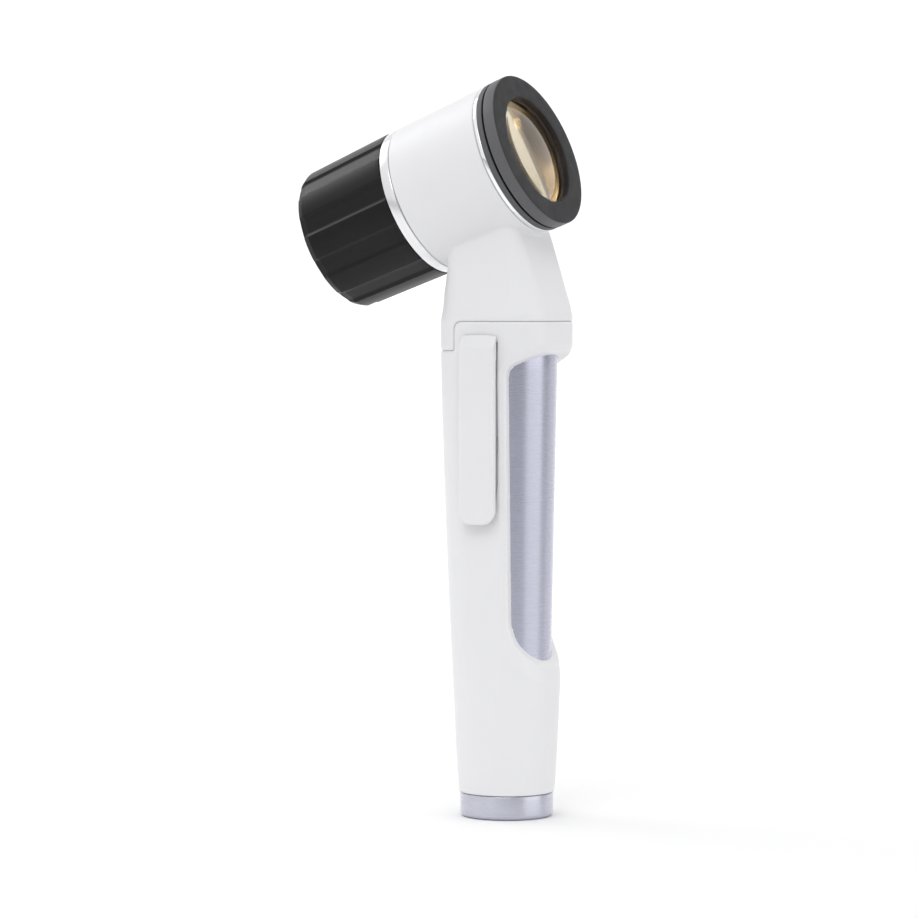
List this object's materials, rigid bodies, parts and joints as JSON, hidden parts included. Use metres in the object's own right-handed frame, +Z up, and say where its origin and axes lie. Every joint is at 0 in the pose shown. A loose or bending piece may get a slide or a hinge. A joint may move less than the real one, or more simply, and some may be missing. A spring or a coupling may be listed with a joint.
{
  "type": "dermatoscope",
  "caption": "Pocket skin magnifier with a slim battery handle, a tilted lit head, a focusing eyepiece lens, a ribbed contact barrel and a pocket clip.",
  "frame": {"origin": "centre of the flat underside of the end cap, on the handle axis", "axes": "+Z up the handle axis, +X to the side the eyepiece and the window face, -Y to the side with the pocket clip"},
  "size_m": [0.0676, 0.0382, 0.1781],
  "materials": {
    "white_plastic": "satin moulded white plastic",
    "brushed_aluminium": "fine turned, clear anodised",
    "ring_aluminium": "turned satin",
    "polished_trim": "polished",
    "black_ring": "fine matte",
    "black_barrel": "satin to gloss moulded black",
    "inner_black": "matte anti-reflection black",
    "optical_glass": "polished, coated",
    "grey_plastic": "moulded",
    "cell_jacket": "plain printed jacket with no lettering",
    "brass": "plated",
    "spring_steel": "drawn",
    "flex_film": "amber film",
    "board": "solder mask",
    "chip": "moulded",
    "led": "clear epoxy",
    "lead_insulation": "soft",
    "seal_rubber": "moulded"
  },
  "bodies": {
    "handle": {"handle_shell": "white_plastic", "handle_tube": "brushed_aluminium", "battery_sleeve": "grey_plastic", "battery_lower": "cell_jacket", "battery_upper": "cell_jacket", "top_contact": "brass", "contact_carrier": "grey_plastic", "handle_contact_pin": "brass", "negative_contact_ring": "brass", "switch_dome": "spring_steel", "switch_flex": "flex_film", "clip_pin": "spring_steel", "clip_spring": "spring_steel"},
    "clip": {"pocket_clip": "white_plastic"},
    "cap_carrier": {"cap_spring": "spring_steel", "cap_contact": "spring_steel"},
    "cap": {"end_cap": "brushed_aluminium", "cap_seal": "seal_rubber"},
    "head": {"head_body": "white_plastic", "head_plug": "grey_plastic", "head_contact": "brass", "negative_spring": "spring_steel", "driver_board": "board", "board_parts": "chip", "led_board": "board", "leds": "led", "led_leads": "lead_insulation", "optical_tube": "inner_black", "objective_lens": "optical_glass", "objective_retainer": "inner_black", "barrel_mount_ring": "ring_aluminium", "barrel_seal": "seal_rubber", "ring_screws": "spring_steel", "trim_ring": "polished_trim", "eyepiece_base_ring": "black_ring"},
    "lens_carriage": {"eyepiece_lens": "optical_glass", "lens_cell": "inner_black", "lens_retainer": "inner_black"},
    "focus": {"focus_ring": "black_ring", "focus_seal": "seal_rubber"},
    "glass_carriage": {"contact_glass": "optical_glass", "glass_retainer": "inner_black"},
    "barrel": {"contact_barrel": "black_barrel"}
  },
  "joints": [
    {"name": "cap_travel", "type": "slide", "parent": "handle", "child": "cap_carrier", "axis": [0, 0, -1], "range_m": [0, 0.0062]},
    {"name": "cap_turn", "type": "hinge", "parent": "cap_carrier", "child": "cap", "pos_m": [0, 0, 0.003], "axis": [0, 0, -1], "range_deg": [0, 1490]},
    {"name": "clip_lift", "type": "hinge", "parent": "handle", "child": "clip", "pos_m": [0, -0.0141, 0.1122], "axis": [-1, 0, 0], "range_deg": [-0.6, 3], "stiffness_Nm_per_rad": 0.6},
    {"name": "head_pull", "type": "slide", "parent": "handle", "child": "head", "axis": [0, 0, 1], "range_m": [0, 0.01]},
    {"name": "focus_travel", "type": "slide", "parent": "head", "child": "lens_carriage", "axis": [0.9314, 0, 0.3639], "range_m": [-0.0003, 0.003]},
    {"name": "focus_turn", "type": "hinge", "parent": "lens_carriage", "child": "focus", "pos_m": [0.00645, 0, 0.15977], "axis": [0.9314, 0, 0.3639], "range_deg": [-22, 217]},
    {"name": "barrel_travel", "type": "slide", "parent": "head", "child": "glass_carriage", "axis": [-0.9314, 0, -0.3639], "range_m": [0, 0.009]},
    {"name": "barrel_turn", "type": "hinge", "parent": "glass_carriage", "child": "barrel", "pos_m": [-0.03826, 0, 0.1423], "axis": [-0.9314, 0, -0.3639], "range_deg": [0, 541]}
  ],
  "couplings": [
    {"joint": "cap_turn", "follows": "cap_travel", "rad_per_m": 4188.8},
    {"joint": "focus_turn", "follows": "focus_travel", "rad_per_m": 1256.6},
    {"joint": "barrel_turn", "follows": "barrel_travel", "rad_per_m": 1047.2}
  ]
}
